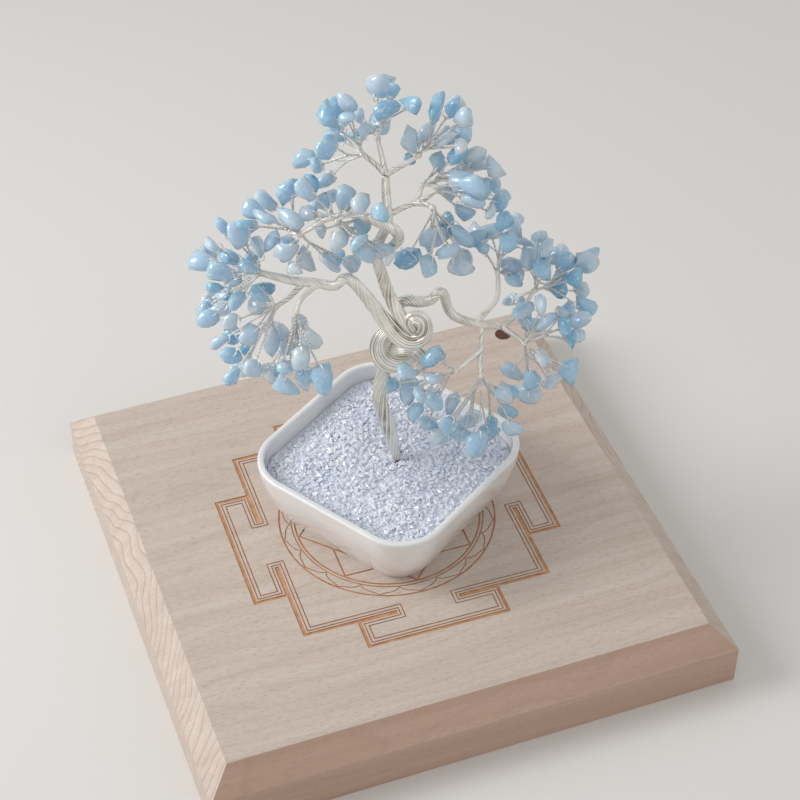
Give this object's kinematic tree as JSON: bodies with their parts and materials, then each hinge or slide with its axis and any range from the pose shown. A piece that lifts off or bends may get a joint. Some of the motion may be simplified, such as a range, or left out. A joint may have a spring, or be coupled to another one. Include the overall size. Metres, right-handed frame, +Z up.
{
  "type": "gemstone tree ornament",
  "caption": "Wire tree with tumbled pale blue gem chips, planted in a square glazed pot of crystal grit, on a bevelled wooden display board with a burned yantra.",
  "frame": {"origin": "centre of the display board's underside", "axes": "+Z up; X and Y along the board's edges, and the pot's front corner and the low bough point to -Y"},
  "size_m": [0.3, 0.3, 0.3202],
  "materials": {
    "pale_wood": "sanded, unvarnished",
    "dark_wood": "polished",
    "pot_glaze": "glossy",
    "plaster": "matte, hidden",
    "crystal_grit": "clear and frosted grains",
    "silver_wire": "bright drawn wire",
    "blue_stone": "tumbled, translucent"
  },
  "bodies": {
    "display_board": {"display_board": "pale_wood", "corner_inlay": "dark_wood"},
    "potted_tree": {"pot": "pot_glaze", "plaster_plug": "plaster", "crystal_bed": "crystal_grit", "trunk_rope": "silver_wire", "lower_knot": "silver_wire", "left_bundle": "silver_wire", "centre_bundle": "silver_wire", "right_rope": "silver_wire"},
    "crown_bough": {"crown_rope": "silver_wire", "crossing_rope": "silver_wire", "chips_crown_left": "blue_stone", "twigs_crown_left": "silver_wire", "chips_crown_right": "blue_stone", "twigs_crown_right": "silver_wire", "chips_crown_top": "blue_stone", "twigs_crown_top": "silver_wire", "chips_left_canopy": "blue_stone", "twigs_left_canopy": "silver_wire", "chips_left_canopy_end": "blue_stone", "twigs_left_canopy_end": "silver_wire", "chips_right_crown": "blue_stone", "twigs_right_crown": "silver_wire", "chips_right_crown_drop": "blue_stone", "twigs_right_crown_drop": "silver_wire", "chips_right_crown_end": "blue_stone", "twigs_right_crown_end": "silver_wire"},
    "left_bough": {"left_rope": "silver_wire", "chips_left_bough": "blue_stone", "twigs_left_bough": "silver_wire", "chips_left_hanging": "blue_stone", "twigs_left_hanging": "silver_wire", "chips_left_under": "blue_stone", "twigs_left_under": "silver_wire"},
    "right_bough": {"right_bough_rope": "silver_wire", "chips_right_lower": "blue_stone", "twigs_right_lower": "silver_wire", "chips_right_outer": "blue_stone", "twigs_right_outer": "silver_wire", "chips_right_upper": "blue_stone", "twigs_right_upper": "silver_wire"},
    "front_bough": {"front_rope": "silver_wire", "chips_front": "blue_stone", "twigs_front": "silver_wire", "chips_front_left": "blue_stone", "twigs_front_left": "silver_wire"}
  },
  "joints": [
    {"name": "pot_lift", "type": "slide", "parent": "display_board", "child": "potted_tree", "axis": [0, 0, 1], "range_m": [0, 0.06]},
    {"name": "crown_bend", "type": "hinge", "parent": "potted_tree", "child": "crown_bough", "pos_m": [-0.00046, 0.00942, 0.21598], "axis": [0.9385, -0.3453, 0], "range_deg": [-6, 6]},
    {"name": "left_bend", "type": "hinge", "parent": "potted_tree", "child": "left_bough", "pos_m": [-0.01593, 0.01092, 0.21051], "axis": [0.3453, 0.9385, 0], "range_deg": [-8, 4]},
    {"name": "right_bend", "type": "hinge", "parent": "potted_tree", "child": "right_bough", "pos_m": [0.02622, 0.0002, 0.19161], "axis": [0.3453, 0.9385, 0], "range_deg": [-2.5, 2.5]},
    {"name": "front_bend", "type": "hinge", "parent": "right_bough", "child": "front_bough", "pos_m": [0.05073, -0.00941, 0.16927], "axis": [0.9385, -0.3453, 0], "range_deg": [-8, 3]}
  ]
}
